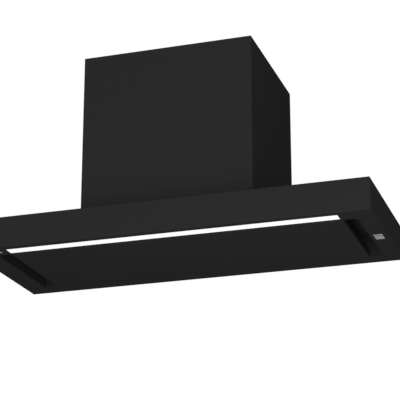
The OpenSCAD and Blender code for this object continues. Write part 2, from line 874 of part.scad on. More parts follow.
// One curved blade, in Y and Z about the wheel's axis
module blade_outline() {
    function at(share, side) = let (r = blade_inner_r + (wheel_r - blade_t - blade_inner_r) * share,
        a = blade_sweep * share * share)
        [r * cos(a) - side * blade_t / 2 * sin(a), r * sin(a) + side * blade_t / 2 * cos(a)];
    polygon(concat([for (i = [0 : blade_steps]) at(i / blade_steps, -1)],
        [for (i = [blade_steps : -1 : 0]) at(i / blade_steps, 1)]));
}

module impeller() {
    color(dark_plastic) translate([0, wheel_y, wheel_z]) difference() {
        union() {
            for (x = [-wheel_length / 2, wheel_length / 2 - ring_t]) difference() {
                bar_x(wheel_r, x, x + ring_t, 0, 0);
                bar_x(blade_inner_r, x - over, x + ring_t + over, 0, 0);
            }
            bar_x(wheel_r, -disc_t / 2, disc_t / 2, 0, 0);
            bar_x(hub_r, -disc_t / 2, hub_l, 0, 0);
            for (i = [0 : blades - 1]) along_x(-wheel_length / 2, wheel_length / 2)
                rotate(i * full_turn / blades) blade_outline();
        }
        bar_x(shaft_r, -disc_t - over, hub_l + over, 0, 0);
    }
}

module motor_shaft() {
    color(zinc) bar_x(shaft_r, motor_x0 - shaft_end, hub_l, wheel_y, wheel_z);
}

module motor() {
    color(zinc) difference() {
        union() {
            bar_x(motor_r, motor_x0 + arm_t, motor_x1, wheel_y, wheel_z);
            bar_x(motor_boss_r, motor_x0, motor_x1 + arm_t, wheel_y, wheel_z);
        }
        bar_x(shaft_r + running, motor_x0 - over, motor_x1 + arm_t + over, wheel_y, wheel_z);
    }
}

// The bracket's ring sits round the motor's boss, on its end face
module motor_bracket() {
    color(zinc) translate([0, wheel_y, wheel_z]) along_x(motor_x0, motor_x0 + arm_t) difference() {
        union() {
            circle(r = motor_r);
            for (a = arm_angles) rotate(a) translate([motor_r / 2, -arm_w / 2])
                square([bush_ring + bush_r - motor_r / 2, arm_w]);
        }
        circle(r = motor_boss_r);
        for (a = arm_angles) rotate(a) translate([bush_ring, 0]) circle(r = bush_hole_r);
    }
}

module motor_bushes() {
    color("#1c1c1c") for (a = arm_angles) difference() {
        bar_x(bush_r, motor_x0 + arm_t, -scroll_x, wheel_y + bush_ring * cos(a), wheel_z + bush_ring * sin(a));
        bar_x(bush_hole_r, motor_x0 + arm_t - over, over - scroll_x,
            wheel_y + bush_ring * cos(a), wheel_z + bush_ring * sin(a));
    }
}

module motor_screws() {
    color(zinc) for (a = arm_angles)
        translate([0, wheel_y + bush_ring * cos(a), wheel_z + bush_ring * sin(a)]) {
            bar_x(bush_head_r, motor_x0 - head_h, motor_x0, 0, 0);
            bar_x(bush_hole_r, motor_x0, -scroll_x + scroll_wall, 0, 0);
        }
}

// Run capacitor in a clip on the left wall of the blower box
module capacitor() {
    wall_x = -box_w / 2 + box_wall;
    x = wall_x + capacitor_foot - capacitor_bite + capacitor_r;
    y = [wheel_y - capacitor_r - capacitor_edge, wheel_y + capacitor_r + capacitor_edge];
    z = top_z + box_h / 2;
    color(bare_aluminium) {
        bar_z(capacitor_r, x, wheel_y, z - capacitor_bite, z + capacitor_h);
        span([wall_x, x], y, [z - capacitor_foot, z]);
        span([wall_x, wall_x + capacitor_foot], y, [z - capacitor_foot, z + capacitor_h - capacitor_edge]);
    }
}

module duct_collar() {
    color(dark_plastic) difference() {
        union() {
            bar_z(collar_r, 0, outlet_y, box_z1, box_z1 + collar_flange_t + collar_h);
            bar_z(collar_r + collar_flange, 0, outlet_y, box_z1, box_z1 + collar_flange_t);
        }
        bar_z(collar_r - collar_wall, 0, outlet_y, flap_z - flap_t / 2 - seat,
            box_z1 + collar_flange_t + collar_h + over);
        bar_z(collar_r - collar_wall - stop_lip, 0, outlet_y, box_z1 - over, flap_z);
        bar_z(collar_r - collar_wall, 0, outlet_y, box_z1 - over, flap_z - flap_t / 2 - seat - stop_t);
        bar_x(flap_pin_r, -collar_r - over, collar_r + over, outlet_y, flap_z);
        for (p = collar_feet) bar_z(screw_r, p[0], p[1], box_z1 - over, box_z1 + collar_flange_t + over);
    }
}

module collar_screws() {
    color(zinc) for (p = collar_feet) translate([p[0], p[1], box_z1 + collar_flange_t])
        screw(collar_flange_t + box_wall + outlet_flange_t);
}

module flap_pin() {
    color(zinc) bar_x(flap_pin_r, seat - collar_r, collar_r - seat, outlet_y, flap_z);
}

// Half a disc with two knuckles on the pin; the half on the side of +Y
module flap() {
    knuckles = [[-knuckle_mid + knuckle_gap, -knuckle_gap], [knuckle_mid + knuckle_gap, knuckle_end]];
    difference() {
        union() {
            intersection() {
                bar_z(flap_r, 0, 0, -flap_t / 2, flap_t / 2);
                span([-flap_r, flap_r], [flap_web, flap_r], [-flap_t, flap_t]);
            }
            for (x = knuckles) {
                bar_x(flap_knuckle_r, x[0], x[1], 0, 0);
                span(x, [0, flap_web + flap_t], [-flap_t / 2, flap_t / 2]);
            }
        }
        bar_x(flap_pin_r + running, -flap_r - over, flap_r + over, 0, 0);
    }
}

module rear_flap() {
    color(grey_plastic) translate([0, outlet_y, flap_z]) flap();
}

module front_flap() {
    color(grey_plastic) translate([0, outlet_y, flap_z]) rotate([0, 0, 180]) flap();
}

// Plate screwed to the wall, with two hooks that carry the blower box
module wall_plate() {
    lip_y = box_y1 - box_wall - hook_play;
    color(zinc) difference() {
        union() {
            span([-wall_plate_w / 2, wall_plate_w / 2], [-wall_plate_t, 0],
                [-wall_plate_h / 2, wall_plate_h / 2]);
            for (x = [-hook_x, hook_x]) {
                span([x - hook_w / 2, x + hook_w / 2], [lip_y - hook_lip_t, 0], [-hook_t / 2, hook_t / 2]);
                span([x - hook_w / 2, x + hook_w / 2], [lip_y - hook_lip_t, lip_y],
                    [-hook_t / 2, hook_t / 2 + hook_lip]);
            }
        }
        for (x = [-wall_hole_x / 2, wall_hole_x / 2], z = [-wall_hole_z / 2, wall_hole_z / 2])
            translate([x, over, z]) rotate([90, 0, 0]) cylinder(r = wall_hole_r, h = wall_plate_t + 2 * over);
    }
}

// A channel of sheet in plan, open at the back between two returns
module channel(x, y, z, t, edge) {
    difference() {
        span([-x, x], y, z);
        span([-x + t, x - t], [y[0] + t, y[1] - t], [z[0] - over, z[1] + over]);
        span([-x + edge, x - edge], [y[1] - t - over, y[1] + over], [z[0] - over, z[1] + over]);
    }
}

module chimney_cover() {
    x = chimney_w / 2;
    color(paint) difference() {
        union() {
            channel(x, [-chimney_d, 0], [top_z, cover_z1], chimney_sheet, cover_return);
            difference() {
                span([-x, x], [-chimney_d, 0], [top_z, top_z + chimney_sheet]);
                span([-x + cover_foot, x - cover_foot], [-chimney_d + cover_foot, over],
                    [top_z - over, top_z + chimney_sheet + over]);
            }
        }
        for (p = cover_feet) bar_z(screw_r, p[0], p[1], top_z - over, top_z + chimney_sheet + over);
    }
}

// Screws of the cover's foot, put in from inside the canopy
module cover_screws() {
    color(zinc) for (p = cover_feet) translate([p[0], p[1], top_z - sheet]) mirror([0, 0, 1])
        screw(sheet + chimney_sheet);
}

// The inner chimney, which slides up out of the cover to meet the ceiling
module chimney_sleeve() {
    color(paint) difference() {
        channel(sleeve_x, [sleeve_y0, sleeve_y1], [sleeve_z0, sleeve_z1], chimney_sheet, cover_return);
        sleeve_shanks(sleeve_y1 + over);
    }
}

// The two shanks that join the sleeve to its bracket, from inside the bracket back to y1
module sleeve_shanks(y1) {
    y0 = sleeve_inner_y - bracket_t;
    for (side = [-1, 1]) translate([side * sleeve_screw_x, y1, bracket_z]) rotate([90, 0, 0])
        cylinder(r = screw_r, h = y1 - y0);
}

module sleeve_glides() {
    z0 = sleeve_z0 + glide_up;
    color("white") {
        for (side = [-1, 1], y = [sleeve_y0 + glide_inset, sleeve_y1 - glide_inset])
            translate([side * (sleeve_x + glide_t / 2), y, z0 + glide_h / 2])
                cube([glide_t, glide_w, glide_h], center = true);
        for (x = [-sleeve_x + glide_inset, sleeve_x - glide_inset])
            span([x - glide_w / 2, x + glide_w / 2], [sleeve_y0 - glide_t, sleeve_y0], [z0, z0 + glide_h]);
    }
}

// Strip behind the sleeve's returns, stepped back to the wall where it is screwed on
module sleeve_bracket() {
    wing_x = sleeve_x - chimney_sheet - bracket_edge;
    step_x = sleeve_x - cover_return - bracket_step;
    strip = [bracket_z1 - bracket_strip, bracket_z1];
    color(zinc) difference() {
        union() {
            for (side = [0, 1]) mirror([side, 0, 0]) {
                span([step_x, wing_x], [sleeve_inner_y - bracket_t, sleeve_inner_y], strip);
                span([step_x, step_x + bracket_t], [sleeve_inner_y - bracket_t, 0], strip);
            }
            span([-step_x - bracket_t, step_x + bracket_t], [-bracket_t, 0], strip);
        }
        for (x = [-bracket_hole_x / 2, bracket_hole_x / 2]) translate([x, over, bracket_z]) rotate([90, 0, 0])
            cylinder(r = bracket_hole_r, h = bracket_t + 2 * over);
        sleeve_shanks(0);
    }
}

module sleeve_screws() {
    color(zinc) {
        for (side = [-1, 1]) translate([side * sleeve_screw_x, sleeve_inner_y - bracket_t, bracket_z])
            rotate([90, 0, 0]) cylinder(r = head_r, h = head_h);
        sleeve_shanks(sleeve_y1);
    }
}

module electronics_box() {
    color(dark_plastic) difference() {
        span([el_x0, el_x1], [el_y0, el_y1], [el_z0, el_z1]);
        difference() {
            span([el_x0 + el_wall, el_x1 + over], [el_y0 + el_wall, el_y1 - el_wall],
                [el_z0 + el_wall, el_z1 - el_wall]);
            for (p = lid_corners) bar_x(post, el_x0, el_x1, p[0], p[1]);
        }
        for (p = lid_corners) bar_x(screw_r, el_x1 - screw_l, el_x1 + over, p[0], p[1]);
        bar_z(gland_r, gland_x, gland_y, el_z1 - el_wall - over, el_z1 + over);
    }
}

module electronics_lid() {
    color(dark_plastic) difference() {
        span([el_x1, el_x1 + lid_t], [el_y0, el_y1], [el_z0, el_z1]);
        for (p = lid_corners) bar_x(screw_r, el_x1 - over, el_x1 + lid_t + over, p[0], p[1]);
    }
}

module electronics_screws() {
    color(zinc) for (p = lid_corners) {
        bar_x(head_r, el_x1 + lid_t, el_x1 + lid_t + head_h, p[0], p[1]);
        bar_x(screw_r, el_x1 - screw_l, el_x1 + lid_t, p[0], p[1]);
    }
}

// Circuit board on the floor of the electronics box, with its relays
module control_board() {
    x = el_x0 + el_wall;
    relay = terminal_d;
    color(board_green) {
        span([x, x + board_t], [el_y0 + el_wall + board_margin, el_y1 - el_wall - board_margin],
            [el_z0 + el_wall + board_margin, el_z1 - el_wall - board_margin]);
        for (i = [0 : 2]) span([x + board_t, x + board_t + relay],
            [el_y0 + 2 * board_margin + i * 2 * relay, el_y0 + 2 * board_margin + i * 2 * relay + relay],
            [el_z0 + 2 * board_margin, el_z0 + 2 * board_margin + 2 * relay]);
    }
}

module terminal_block() {
    x = el_x0 + el_wall + board_t;
    z = el_z1 - el_wall - 2 * board_margin - terminal_h;
    y = (el_y0 + el_y1) / 2;
    color(grey_plastic) difference() {
        span([x, x + terminal_d], [y - terminal_w / 2, y + terminal_w / 2], [z, z + terminal_h]);
        for (i = [-1 : 1]) bar_x(screw_r, x + terminal_d / 2, x + terminal_d + over,
            y + i * terminal_w / 4, z + terminal_h / 2);
    }
}

// Inlet for the mains lead
module cable_gland() {
    color(dark_plastic) difference() {
        union() {
            bar_z(gland_r, gland_x, gland_y, el_z1 - el_wall, el_z1 + gland_h);
            bar_z(gland_nut_r, gland_x, gland_y, el_z1, el_z1 + gland_nut_h, $fn = 6);
        }
        bar_z(gland_bore_r, gland_x, gland_y, el_z1 - el_wall - over, el_z1 + gland_h + over);
    }
}

canopy_shell();
base_plate();
filter_frame();
filter_frame_screws();
suction_panel();
panel_hinge_leaves();
hinge_brackets();
hinge_pins();
panel_catches();
catch_magnets();
catch_strikers();
light_diffuser();
light_profile();
light_board();
light_end_caps();
light_driver();
small_fan_key();
large_fan_key();
fan_key_housing();
fan_key_board();
light_key();
light_key_housing();
light_key_board();
filter_cassette_left();
filter_cassette_right();
filter_mesh_left();
filter_mesh_right();
filter_latch_left();
filter_latch_right();
blower_box();
blower_box_screws();
scroll_half_left();
scroll_half_right();
inlet_rings();
impeller();
motor_shaft();
motor();
motor_bracket();
motor_bushes();
motor_screws();
capacitor();
duct_collar();
collar_screws();
flap_pin();
front_flap();
rear_flap();
wall_plate();
chimney_cover();
cover_screws();
chimney_sleeve();
sleeve_glides();
sleeve_bracket();
sleeve_screws();
electronics_box();
electronics_lid();
electronics_screws();
control_board();
terminal_block();
cable_gland();
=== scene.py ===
"""A black wall-mounted chimney hood: finishes, finer forms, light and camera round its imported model."""

import json
import logging
import math
from dataclasses import dataclass, field
from enum import Enum

import bmesh
import bpy
from mathutils import Matrix, Vector


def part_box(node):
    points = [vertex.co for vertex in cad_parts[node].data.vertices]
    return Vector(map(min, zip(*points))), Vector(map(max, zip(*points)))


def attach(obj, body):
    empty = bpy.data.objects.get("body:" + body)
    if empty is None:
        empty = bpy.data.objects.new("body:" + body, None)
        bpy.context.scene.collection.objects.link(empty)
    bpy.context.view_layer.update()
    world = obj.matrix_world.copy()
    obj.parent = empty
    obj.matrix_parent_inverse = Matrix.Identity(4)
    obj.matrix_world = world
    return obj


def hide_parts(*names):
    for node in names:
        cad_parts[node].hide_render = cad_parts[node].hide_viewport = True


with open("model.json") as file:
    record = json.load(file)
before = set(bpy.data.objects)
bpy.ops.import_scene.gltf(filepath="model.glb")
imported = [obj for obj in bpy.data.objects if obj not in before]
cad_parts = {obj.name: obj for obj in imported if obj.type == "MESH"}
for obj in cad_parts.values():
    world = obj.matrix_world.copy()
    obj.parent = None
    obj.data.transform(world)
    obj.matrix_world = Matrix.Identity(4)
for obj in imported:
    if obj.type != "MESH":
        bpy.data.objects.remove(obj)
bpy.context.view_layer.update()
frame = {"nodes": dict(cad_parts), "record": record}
RECORD = frame["record"]
BODY_OF = {node: body for body, nodes in RECORD["behaviour"]["bodies"].items() for node in nodes}
SLOT_OF = {part["node"]: part["material_slot"] for part in RECORD["subparts"]}

MM = 0.001
# Points closer than this are one point, in metres
TINY = 1e-6
# Faces that turn less than the first are one flat face, and edges that turn more than the second are sharp
FLAT_ANGLE = math.radians(0.3)
SHARP_ANGLE = math.radians(40)
X = Vector((1, 0, 0))
Y = Vector((0, 1, 0))
Z = Vector((0, 0, 1))

log = logging.getLogger("hood")


def add_node(tree: bpy.types.NodeTree, kind: str, feeds: dict | None = None, **settings) -> bpy.types.Node:
    """Adds a node to a tree, with its settings and what feeds it.

    Args:
        tree: The shader or geometry node tree.
        kind: The type of the node.
        feeds: Name or number of an input, to the socket or the plain value that feeds it.
        settings: The node's own properties.

    Returns:
        The new node.
    """
    node = tree.nodes.new(kind)
    for name, value in settings.items():
        setattr(node, name, value)
    for key, source in (feeds or {}).items():
        if isinstance(source, bpy.types.NodeSocket):
            tree.links.new(source, node.inputs[key])
        else:
            node.inputs[key].default_value = source
    return node


def linear(colour: str) -> tuple[float, float, float, float]:
    """Turns an sRGB hex colour into linear values.

    Args:
        colour: Such as #1a2b3c.

    Returns:
        Red, green, blue and an alpha of 1.
    """
    shares = [int(colour[i : i + 2], 16) / 255 for i in (1, 3, 5)]
    return (*(s / 12.92 if s <= 0.04045 else ((s + 0.055) / 1.055) ** 2.4 for s in shares), 1.0)


class Grain(Enum):
    """What a surface's fine pattern is made by."""

    PEEL = "soft waves of a baked coat or a moulding"
    CRYSTALS = "angular zinc crystals"
    LINES = "fine lines along one direction"
    TRACKS = "copper tracks under a green mask"


@dataclass(frozen=True)
class Finish:
    """One real finish, which build() turns into a material.

    Attributes:
        name: The material's name, after the real finish, or after the painted light that it holds.
        dark: Darker sRGB colour of the pattern.
        light: Lighter sRGB colour of the pattern.
        grain: Kind of pattern.
        grain_mm: Real size of one wave, crystal, line or track pitch.
        roughness: Lowest and highest roughness over the pattern.
        metallic: 1 for a bare metal.
        specular: Specular level, 0.5 for the material's own IOR of 1.5.
        relief_mm: Height of the pattern.
        stretch: Stretch of the pattern's frequency along X, Y and Z.
        glow: Strength of its own white light.
        detail: Number of ever finer waves in the noise of a peel or of lines.
        track_gap: Share of a track's pitch that is bare board.
        track_lean: How far the tracks lean to the lighter colour.
    """

    name: str
    dark: str
    light: str
    grain: Grain
    grain_mm: float
    roughness: tuple[float, float]
    metallic: float = 0.0
    specular: float = 0.5
    relief_mm: float = 0.0
    stretch: tuple[float, float, float] = (1.0, 1.0, 1.0)
    glow: float = 0.0
    detail: float = 3.0
    track_gap: float = 0.12
    track_lean: float = 0.2

    def pattern(self, tree: bpy.types.NodeTree) -> bpy.types.NodeSocket:
        """Builds the pattern.

        Args:
            tree: The material's node tree.

        Returns:
            The socket with the pattern's height, from 0 to 1.
        """
        place = add_node(tree, "ShaderNodeTexCoord").outputs["Object"]
        scale = tuple(s / (self.grain_mm * MM) for s in self.stretch)
        mapped = add_node(tree, "ShaderNodeMapping", {"Vector": place, "Scale": scale}).outputs["Vector"]
        if self.grain is Grain.CRYSTALS:
            cells = add_node(tree, "ShaderNodeTexVoronoi", {
                "Vector": mapped, "Scale": 1.0, "Randomness": 1.0})
            return add_node(tree, "ShaderNodeSeparateColor", {0: cells.outputs["Color"]}).outputs[0]
        if self.grain is Grain.TRACKS:
            tracks = add_node(tree, "ShaderNodeTexBrick", {
                "Vector": mapped, "Scale": 1.0, "Mortar Size": self.track_gap, "Bias": self.track_lean})
            return tracks.outputs["Fac"]
        waves = add_node(tree, "ShaderNodeTexNoise", {
            "Vector": mapped, "Scale": 1.0, "Detail": self.detail})
        return waves.outputs[0]

    def build(self) -> bpy.types.Material:
        """Builds the material, the first time that it is asked for.

        Returns:
            The material.
        """
        if self.name in bpy.data.materials:
            return bpy.data.materials[self.name]
        material = bpy.data.materials.new(self.name)
        material.use_nodes = True
        tree = material.node_tree
        tree.nodes.clear()
        height = self.pattern(tree)
        colour = add_node(tree, "ShaderNodeValToRGB", {"Fac": height})
        colour.color_ramp.elements[0].color = linear(self.dark)
        colour.color_ramp.elements[1].color = linear(self.light)
        rough = add_node(tree, "ShaderNodeMapRange",
                         {"Value": height, "To Min": self.roughness[0], "To Max": self.roughness[1]})
        feeds = {"Base Color": colour.outputs["Color"], "Roughness": rough.outputs[0],
                 "Metallic": self.metallic, "Specular IOR Level": self.specular}
        if self.relief_mm:
            bump = add_node(tree, "ShaderNodeBump", {"Height": height, "Distance": self.relief_mm * MM})
            feeds["Normal"] = bump.outputs["Normal"]
        if self.glow:
            feeds |= {"Emission Color": linear("#ffffff"), "Emission Strength": self.glow}
        shader = add_node(tree, "ShaderNodeBsdfPrincipled", feeds)
        add_node(tree, "ShaderNodeOutputMaterial", {"Surface": shader.outputs[0]})
        return material


# The record's material slots and the real finish of each
FINISHES = {
    # Polyester powder coat, sprayed and baked on steel: deep black with a soft sheen and faint orange peel.
    # The real peel is about 0.7 mm; it is drawn at 2.5 mm so that it shows.
    "black_coat": Finish("satin_black_powder_coat", "#161616", "#1b1b1b", Grain.PEEL, 2.5,
                         (0.50, 0.60), specular=0.12, relief_mm=0.02),
    # Hot-dip galvanised sheet: zinc crystals of about 7 mm that catch the light one by one
    "galvanised": Finish("hot_dip_galvanised_steel", "#9a9ea0", "#b4b8ba", Grain.CRYSTALS, 7.0,
                         (0.34, 0.52), metallic=1.0, relief_mm=0.01),
    # Zinc-plated steel: brighter and finer than galvanised sheet
    "zinc_plate": Finish("zinc_plated_steel", "#a8abad", "#c4c6c4", Grain.PEEL, 1.2,
                         (0.22, 0.34), metallic=1.0),
    # Mill-finish aluminium: fine drawing lines along the profile
    "aluminium": Finish("mill_finish_aluminium", "#b9bbbd", "#cfd1d2", Grain.LINES, 1.0,
                        (0.30, 0.42), metallic=1.0, relief_mm=0.01, stretch=(0.04, 1.0, 1.0)),
    # Steel of the keys, brushed dull: lines of 0.2 mm in truth, drawn at 0.6 mm so that they show
    "key_metal": Finish("dull_brushed_steel", "#949698", "#b6b8ba", Grain.LINES, 0.6,
                        (0.66, 0.80), metallic=1.0, relief_mm=0.01, stretch=(0.05, 1.0, 1.0)),
    # Opal acrylic over the light board: most light goes through it, so by itself it is grey,
    # and it glows evenly
    "opal": Finish("opal_acrylic", "#8a8a88", "#929290", Grain.PEEL, 20.0,
                   (0.35, 0.45), glow=0.68),
    # ABS with a spark-eroded texture of about 0.5 mm, drawn at 1 mm so that it shows
    "black_plastic": Finish("black_textured_abs", "#191a1b", "#222324", Grain.PEEL, 1.0,
                            (0.50, 0.65), relief_mm=0.03),
    # Polypropylene of the scroll and flaps: waxy, with faint flow marks of some centimetres
    "grey_plastic": Finish("grey_moulded_polypropylene", "#6f7275", "#7b7e81", Grain.PEEL, 14.0,
                           (0.42, 0.52), relief_mm=0.05),
    # Nylon glides: milky white with a dull sheen
    "white_plastic": Finish("white_nylon", "#d6d5cf", "#e2e1dc", Grain.PEEL, 3.0,
                            (0.45, 0.55)),
    # Glass-fibre board with solder mask: tracks of 2.5 mm pitch show as lighter lines
    "circuit_board": Finish("green_circuit_board", "#1f5a35", "#357a4d", Grain.TRACKS, 2.5,
                            (0.28, 0.40), relief_mm=0.035),
    # Sintered ferrite: dark, dry and slightly speckled
    "magnet": Finish("sintered_ferrite", "#2b2b2c", "#3a3a3b", Grain.PEEL, 0.8,
                     (0.60, 0.75), relief_mm=0.02),
    # Black rubber: fully matt
    "rubber": Finish("black_rubber", "#161616", "#1e1e1e", Grain.PEEL, 1.5,
                     (0.75, 0.90), relief_mm=0.03),
}

# The roof of the suction chamber: black painted paler than the coat, as painted light that stands in for
# light which doesn't reach up into the chamber, and rougher
ROOF_PAINTED_LIGHT = Finish("black_roof_with_painted_light", "#202020", "#262626", Grain.PEEL, 1.5,
                (0.70, 0.80), specular=0.12)
# The studio's matt floor, with a faint cloudiness of 40 cm, and its dark flag
STUDIO_FLOOR = Finish("pale_studio_floor", "#ededec", "#f1f1f0", Grain.PEEL, 400.0,
                      (0.8, 0.9), specular=0.2)
STUDIO_FLAG = Finish("black_studio_flag", "#303030", "#343434", Grain.PEEL, 40.0,
                     (0.9, 1.0), specular=0.1)
# The filter frame, the roof of the suction chamber, gets black with painted light in place of its slot's
# coat
FINISH_OF = {node: FINISHES[slot] for node, slot in SLOT_OF.items()} | {"filter_frame": ROOF_PAINTED_LIGHT}


def baked(mesh: bpy.types.Mesh, kind: str, values: dict | None = None, **settings) -> bpy.types.Mesh:
    """Runs one modifier on a mesh and keeps the result.

    Args:
        mesh: The mesh to start from.
        kind: Type of the modifier.
        values: Its inputs by identifier, for a node tree.
        settings: The modifier's own properties.

    Returns:
        The new mesh.
    """
    holder = bpy.data.objects.new(mesh.name, mesh)
    bpy.context.scene.collection.objects.link(holder)
    modifier = holder.modifiers.new(kind, kind)
    for name, value in settings.items():
        setattr(modifier, name, value)
    for identifier, value in (values or {}).items():
        modifier[identifier] = value
    made = bpy.data.meshes.new_from_object(holder.evaluated_get(bpy.context.evaluated_depsgraph_get()))
    holder.modifiers.remove(modifier)
    bpy.data.objects.remove(holder)
    return made


class EdgeChoice(Enum):
    """Which edges of a copied solid are rounded."""

    NONE = "none"
    OUTER = "the edges of the solid's own box, where a sheet is folded"
    SHARP = "every sharp edge that isn't short"
    RIMS = "every sharp edge that lies well away from the middle, of any length"


@dataclass
class Piece:
    """A mesh that is made here and put in the place of CAD nodes.

    Attributes:
        name: The piece's name.
        mesh: Its mesh, in place.
        node: The CAD node whose body, slot and place it takes.
        smooth_deg: Edges flatter than this are shaded smooth.
    """

    name: str
    mesh: bpy.types.Mesh
    node: str
    smooth_deg: float = 20.0

    def put(self) -> bpy.types.Object:
        """Links the piece, dresses it and lets it stand for its node.

        Returns:
            The piece's object.
        """
        self.mesh.name = self.name
        self.mesh.materials.clear()
        self.mesh.materials.append(FINISH_OF[self.node].build())
        self.mesh.polygons.foreach_set("use_smooth", [True] * len(self.mesh.polygons))
        self.mesh.set_sharp_from_angle(angle=math.radians(self.smooth_deg))
        shaded = baked(self.mesh, "WEIGHTED_NORMAL", keep_sharp=True)
        piece = bpy.data.objects.new(self.name, shaded)
        bpy.context.scene.collection.objects.link(piece)
        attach(piece, BODY_OF[self.node])
        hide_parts(self.node)
        log.info("%s stands for %s, %d faces", self.name, self.node, len(self.mesh.polygons))
        return piece


def merged(node: str) -> bmesh.types.BMesh:
    """Copies a CAD node's loose triangles and joins them.

    Args:
        node: Name of the node.

    Returns:
        The joined mesh, with its flat faces made whole.
    """
    solid = bmesh.new()
    solid.from_mesh(frame["nodes"][node].data)
    bmesh.ops.remove_doubles(solid, verts=solid.verts, dist=TINY)
    bmesh.ops.dissolve_limit(solid, angle_limit=FLAT_ANGLE, verts=solid.verts, edges=solid.edges)
    return solid


def as_mesh(solid: bmesh.types.BMesh, name: str) -> bpy.types.Mesh:
    """Turns edited geometry into a mesh and frees it.

    Args:
        solid: The edited geometry.
        name: Name of the new mesh.

    Returns:
        The mesh.
    """
    mesh = bpy.data.meshes.new(name)
    solid.to_mesh(mesh)
    solid.free()
    return mesh


def islands(solid: bmesh.types.BMesh) -> list[list[Vector]]:
    """Sorts a mesh's points into its separate solids.

    Args:
        solid: The joined mesh.

    Returns:
        The points of each solid, in order of their first point.
    """
    found, seen = [], set()
    for start in solid.verts:
        if start in seen:
            continue
        seen.add(start)
        group, waiting = [], [start]
        while waiting:
            vert = waiting.pop()
            group.append(vert.co.copy())
            for edge in vert.link_edges:
                other = edge.other_vert(vert)
                if other not in seen:
                    seen.add(other)
                    waiting.append(other)
        found.append(group)
    return found


@dataclass
class Softened:
    """A CAD solid copied with its edges rounded and its curves shaded smooth.

    Attributes:
        node: The CAD node.
        radius_mm: Radius of the rounded edges.
        choice: Which edges are rounded.
        steps: Faces across a rounded edge.
        rim_share: Least distance of a rim from the middle, as a share of the half width.
        least_length: Shortest sharp edge that is rounded, as a multiple of the radius.
    """

    node: str
    radius_mm: float = 0.0
    choice: EdgeChoice = EdgeChoice.NONE
    steps: int = 3
    rim_share: float = 0.8
    least_length: float = 2.5

    @staticmethod
    def lies_outside(edge: bmesh.types.BMEdge, low: Vector, high: Vector) -> bool:
        """Tells whether an edge lies along an edge of a box.

        Args:
            edge: The edge to look at.
            low: The box's lowest corner.
            high: Its highest corner.

        Returns:
            True where the edge runs along two of the box's sides.
        """
        near = 10 * TINY
        start, end = (vert.co for vert in edge.verts)
        sides = 0
        for k in range(3):
            stays = abs(start[k] - end[k]) < near
            low_side = abs(start[k] - low[k]) < near and abs(end[k] - low[k]) < near
            high_side = abs(start[k] - high[k]) < near and abs(end[k] - high[k]) < near
            sides += stays and (low_side or high_side)
        return sides >= 2

    def chosen(self, solid: bmesh.types.BMesh) -> list[bmesh.types.BMEdge]:
        """Picks the edges to round.

        Args:
            solid: The joined mesh.

        Returns:
            The edges.
        """
        low, high = (Vector(corner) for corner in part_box(self.node))
        sharp = [edge for edge in solid.edges
                 if len(edge.link_faces) == 2 and edge.is_convex and edge.calc_face_angle() > SHARP_ANGLE]
        if self.choice is EdgeChoice.RIMS:
            middle = (low + high) / 2
            least = self.rim_share * (high.z - low.z) / 2
            return [edge for edge in sharp
                    if all((vert.co - middle).yz.length > least for vert in edge.verts)]
        shortest = self.least_length * self.radius_mm * MM
        long = [edge for edge in sharp if edge.calc_length() > shortest]
        if self.choice is EdgeChoice.SHARP:
            return long
        return [edge for edge in long if self.lies_outside(edge, low, high)]

    def build(self) -> bpy.types.Object:
        """Builds the copy and puts it in the node's place.

        Returns:
            The piece's object.
        """
        solid = merged(self.node)
        if self.choice is not EdgeChoice.NONE:
            bmesh.ops.bevel(solid, geom=self.chosen(solid), offset=self.radius_mm * MM, segments=self.steps,
                            profile=0.5, affect="EDGES", clamp_overlap=True)
        return Piece(self.node + "_finished", as_mesh(solid, self.node), self.node).put()


class Growth:
    """A geometry node tree with named sizes, which grows a mesh from a plain one.

    Attributes:
        tree: The node tree.
        sizes: Name of each input, to its value.
        entry: The tree's input node.
    """

    KINDS = {int: "NodeSocketInt", float: "NodeSocketFloat", tuple: "NodeSocketVector"}

    def __init__(self, name: str, sizes: dict) -> None:
        """Starts the tree.

        Args:
            name: Name of the tree.
            sizes: Name of each input, to its value: a whole number, a length in metres or three values.
        """
        self.tree = bpy.data.node_groups.new(name, "GeometryNodeTree")
        self.sizes = sizes
        self.tree.interface.new_socket("Geometry", in_out="INPUT", socket_type="NodeSocketGeometry")
        for label, value in sizes.items():
            self.tree.interface.new_socket(label, in_out="INPUT", socket_type=self.KINDS[type(value)])
        self.tree.interface.new_socket("Geometry", in_out="OUTPUT", socket_type="NodeSocketGeometry")
        self.entry = self.tree.nodes.new("NodeGroupInput")

    def size(self, label: str) -> bpy.types.NodeSocket:
        """Returns the socket of a named input."""
        return self.entry.outputs[label]

    def make(self, kind: str, feeds: dict | None = None, **settings) -> bpy.types.NodeSocket:
        """Adds a node and returns its first output."""
        return add_node(self.tree, kind, feeds, **settings).outputs[0]

    def sum(self, operation: str, *values: bpy.types.NodeSocket | float) -> bpy.types.NodeSocket:
        """Adds one step of arithmetic with up to three values.

        Args:
            operation: Name of the operation.
            values: Sockets or numbers.

        Returns:
            The result's socket.
        """
        return self.make("ShaderNodeMath", dict(enumerate(values)), operation=operation)

    def grow(self, geometry: bpy.types.NodeSocket, node: str, start: bpy.types.Mesh) -> bpy.types.Mesh:
        """Ends the tree, runs it once and keeps the result as a plain mesh.

        Args:
            geometry: The socket with the finished geometry.
            node: The CAD node whose finish it gets.
            start: The mesh that the tree starts from.

        Returns:
            The grown mesh.
        """
        real = self.make("GeometryNodeRealizeInstances", {0: geometry})
        dressed = self.make("GeometryNodeSetMaterial", {0: real, "Material": FINISH_OF[node].build()})
        add_node(self.tree, "NodeGroupOutput", {0: dressed})
        values = {item.identifier: self.sizes[item.name] for item in self.tree.interface.items_tree
                  if item.in_out == "INPUT" and item.name in self.sizes}
        return baked(start, "NODES", values, node_group=self.tree)


